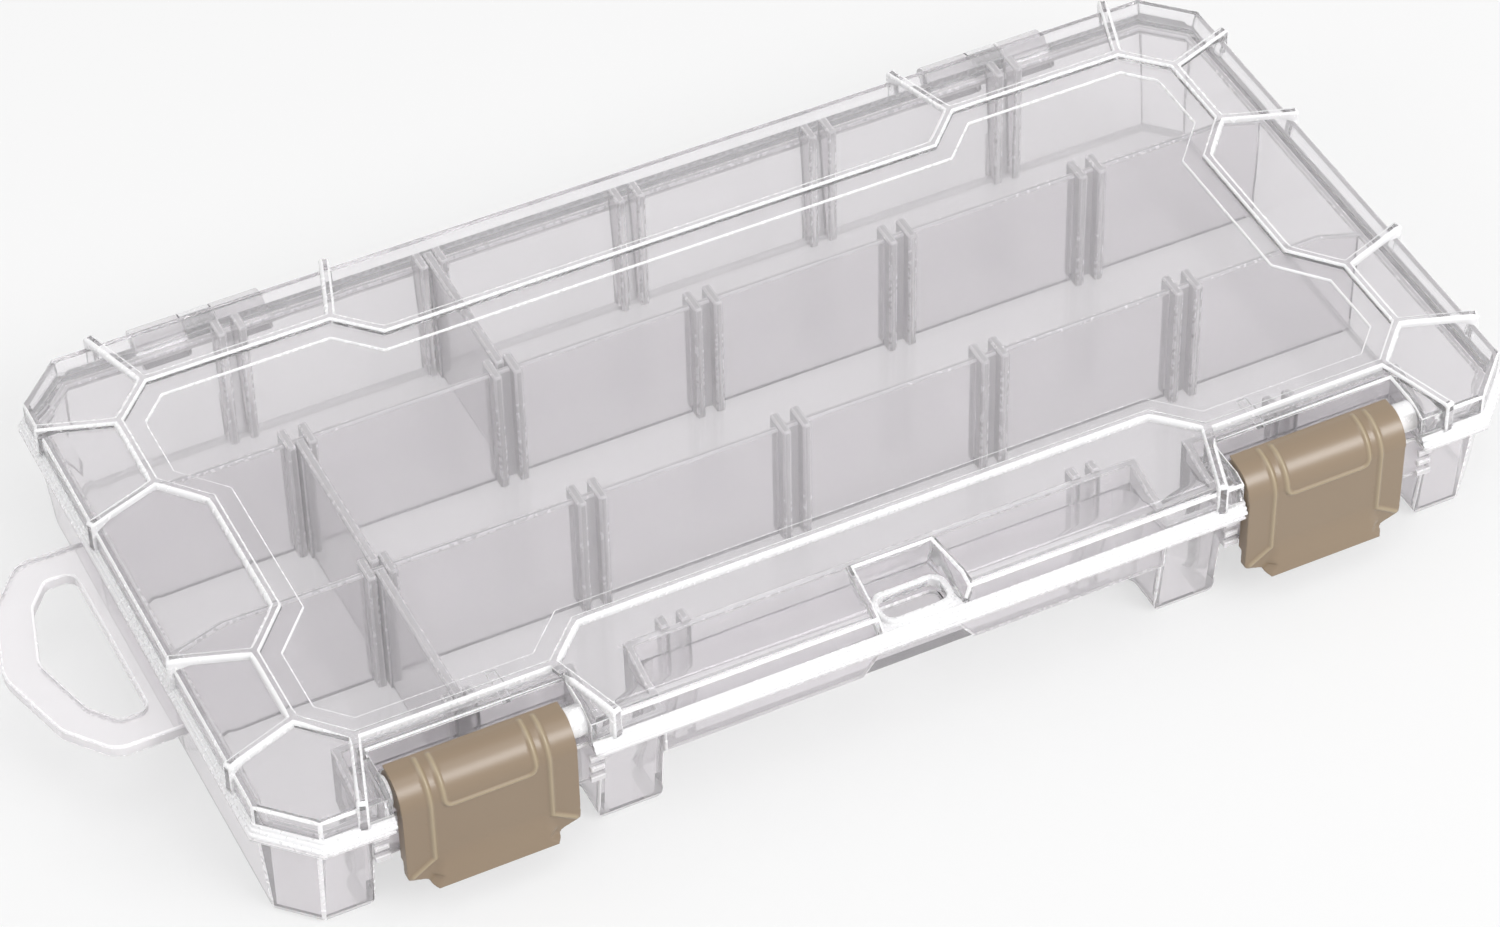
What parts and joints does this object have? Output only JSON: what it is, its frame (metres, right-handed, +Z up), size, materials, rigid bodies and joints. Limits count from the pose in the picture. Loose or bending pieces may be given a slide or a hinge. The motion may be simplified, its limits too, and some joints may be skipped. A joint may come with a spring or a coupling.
{
  "type": "art supply box",
  "caption": "Clear hinged storage box for art supplies, with slotted rows, lift-out cross dividers, snap latches, a lock hole in the front edge and a carrying loop at one end.",
  "frame": {"origin": "on the floor that the closed box lies on, under the middle of the tray's rim", "axes": "+X along the box to the right as seen from the latches, +Y from the latches to the hinges, +Z up"},
  "size_m": [0.2675, 0.1348, 0.032],
  "materials": {
    "tray_plastic": "natural polypropylene, slightly milky",
    "lid_plastic": "clear glossy plastic",
    "latch_plastic": "satin moulded plastic, tan",
    "divider_plastic": "natural polypropylene, slightly milky",
    "pin_plastic": "natural plastic rod"
  },
  "bodies": {
    "tray": {"tray": "tray_plastic", "hinge_pin_left": "pin_plastic", "hinge_pin_right": "pin_plastic", "cross_divider_back": "divider_plastic", "cross_divider_middle": "divider_plastic", "cross_divider_front": "divider_plastic"},
    "lid": {"lid": "lid_plastic"},
    "latch_left": {"latch_left": "latch_plastic"},
    "latch_right": {"latch_right": "latch_plastic"}
  },
  "joints": [
    {"name": "lid_hinge", "type": "hinge", "parent": "tray", "child": "lid", "pos_m": [0, 0.0666, 0.0238], "axis": [-1, 0, 0], "range_deg": [0, 180]},
    {"name": "latch_left_hinge", "type": "hinge", "parent": "lid", "child": "latch_left", "pos_m": [-0.0824, -0.059, 0.0276], "axis": [-1, 0, 0], "range_deg": [0, 95]},
    {"name": "latch_right_hinge", "type": "hinge", "parent": "lid", "child": "latch_right", "pos_m": [0.0795, -0.059, 0.0276], "axis": [-1, 0, 0], "range_deg": [0, 95]}
  ]
}
